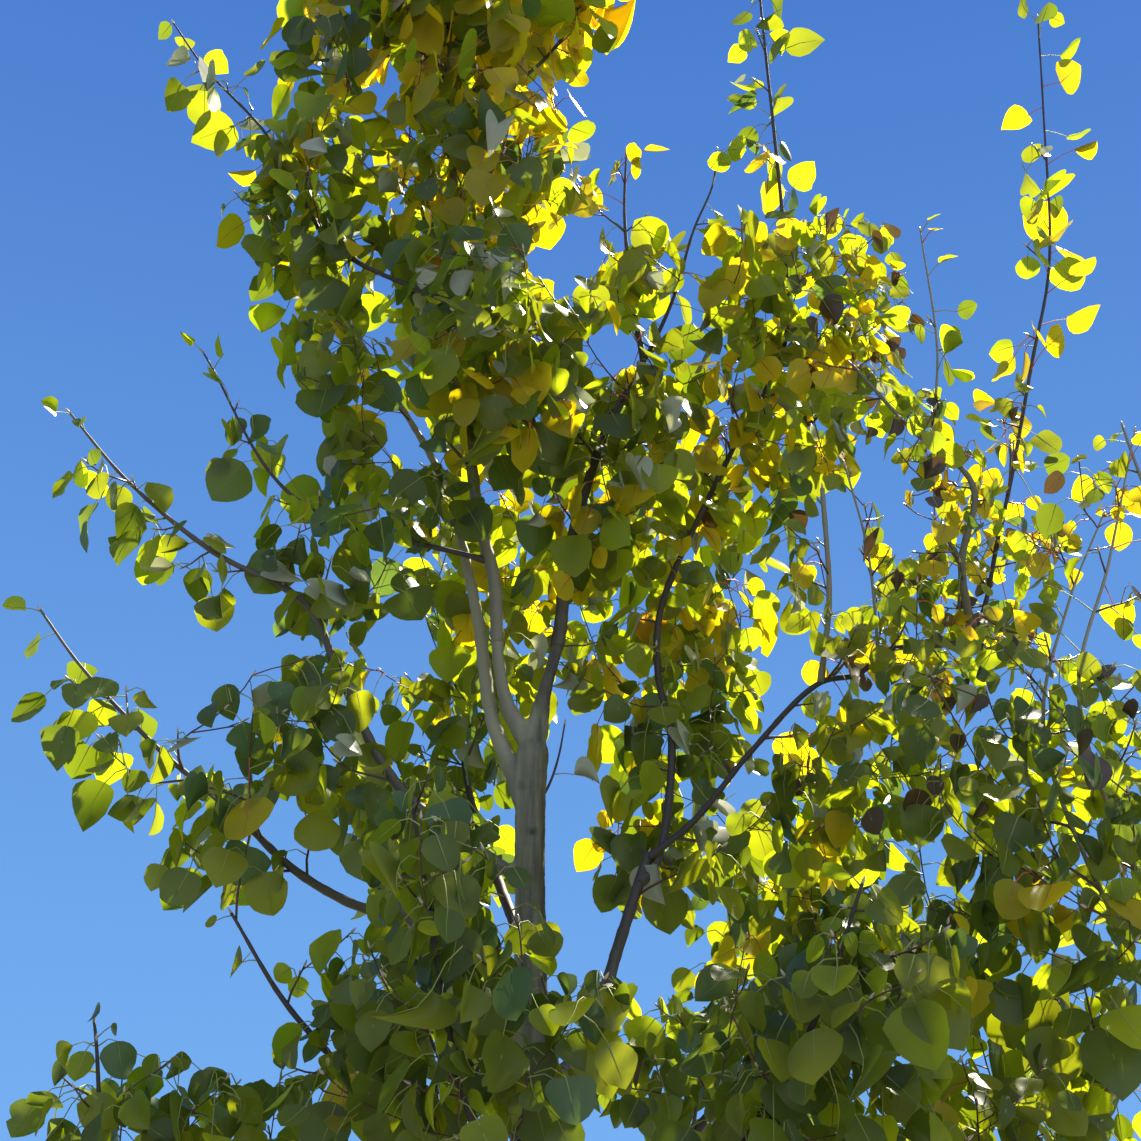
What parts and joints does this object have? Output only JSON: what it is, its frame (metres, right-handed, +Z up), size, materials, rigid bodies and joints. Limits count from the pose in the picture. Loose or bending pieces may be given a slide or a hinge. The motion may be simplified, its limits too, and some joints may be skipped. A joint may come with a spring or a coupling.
{
  "type": "poplar tree",
  "caption": "Young poplar tree with a pale forked trunk, ascending boughs and open masses of rounded leaves turning gold, rooted in the ground.",
  "frame": {"origin": "middle of the flat cut under the trunk, at ground level", "axes": "+Z up the trunk, +X to the right of the front view, +Y away from the front view"},
  "size_m": [1.7107, 1.1872, 4.7051],
  "materials": {
    "bark": "smooth pale bark with lenticels",
    "young_bark": "thin satin red-brown bark",
    "leaf_green": "satin deep green leaves",
    "leaf_light": "satin yellow-green leaves",
    "leaf_gold": "satin golden leaves"
  },
  "bodies": {
    "root": {"bough_back": "bark", "bough_back_left": "bark", "bough_back_low": "bark", "bough_back_right": "bark", "bough_bottom_left": "bark", "bough_far_right": "bark", "bough_front": "bark", "bough_front_right": "bark", "bough_low_left": "bark", "bough_lower_left": "bark", "bough_right": "bark", "bough_right_outer": "young_bark", "bough_right_upright": "young_bark", "bough_upper_left": "bark", "leader_left": "bark", "leader_right": "bark", "leaves_back": "leaf_light", "leaves_back_high": "leaf_light", "leaves_back_left": "leaf_green", "leaves_back_low": "leaf_green", "leaves_back_right": "leaf_light", "leaves_back_right_high": "leaf_light", "leaves_bottom_left": "leaf_green", "leaves_centre_back": "leaf_light", "leaves_centre_high": "leaf_light", "leaves_crown": "leaf_gold", "leaves_crown_left": "leaf_light", "leaves_crown_right": "leaf_gold", "leaves_crown_tip": "leaf_gold", "leaves_far_right": "leaf_green", "leaves_far_right_low": "leaf_green", "leaves_far_right_shoot": "leaf_light", "leaves_front": "leaf_green", "leaves_front_high": "leaf_green", "leaves_front_right": "leaf_light", "leaves_front_skirt": "leaf_green", "leaves_left_front": "leaf_light", "leaves_left_high": "leaf_green", "leaves_left_middle": "leaf_green", "leaves_low_left": "leaf_green", "leaves_low_right": "leaf_light", "leaves_lower_left": "leaf_green", "leaves_lower_left_tip": "leaf_green", "leaves_mid_left_shoot": "leaf_green", "leaves_right_column": "leaf_light", "leaves_right_edge": "leaf_light", "leaves_right_hanging": "leaf_green", "leaves_right_high": "leaf_gold", "leaves_right_inner": "leaf_light", "leaves_right_leader_tip": "leaf_gold", "leaves_right_middle": "leaf_light", "leaves_right_outer": "leaf_light", "leaves_right_shoot": "leaf_light", "leaves_tall_shoot": "leaf_gold", "leaves_top_centre": "leaf_gold", "leaves_top_left": "leaf_green", "leaves_top_left_shoot": "leaf_green", "leaves_upper_left_tip": "leaf_green", "stem_pale": "bark", "trunk": "bark"}
  },
  "joints": []
}
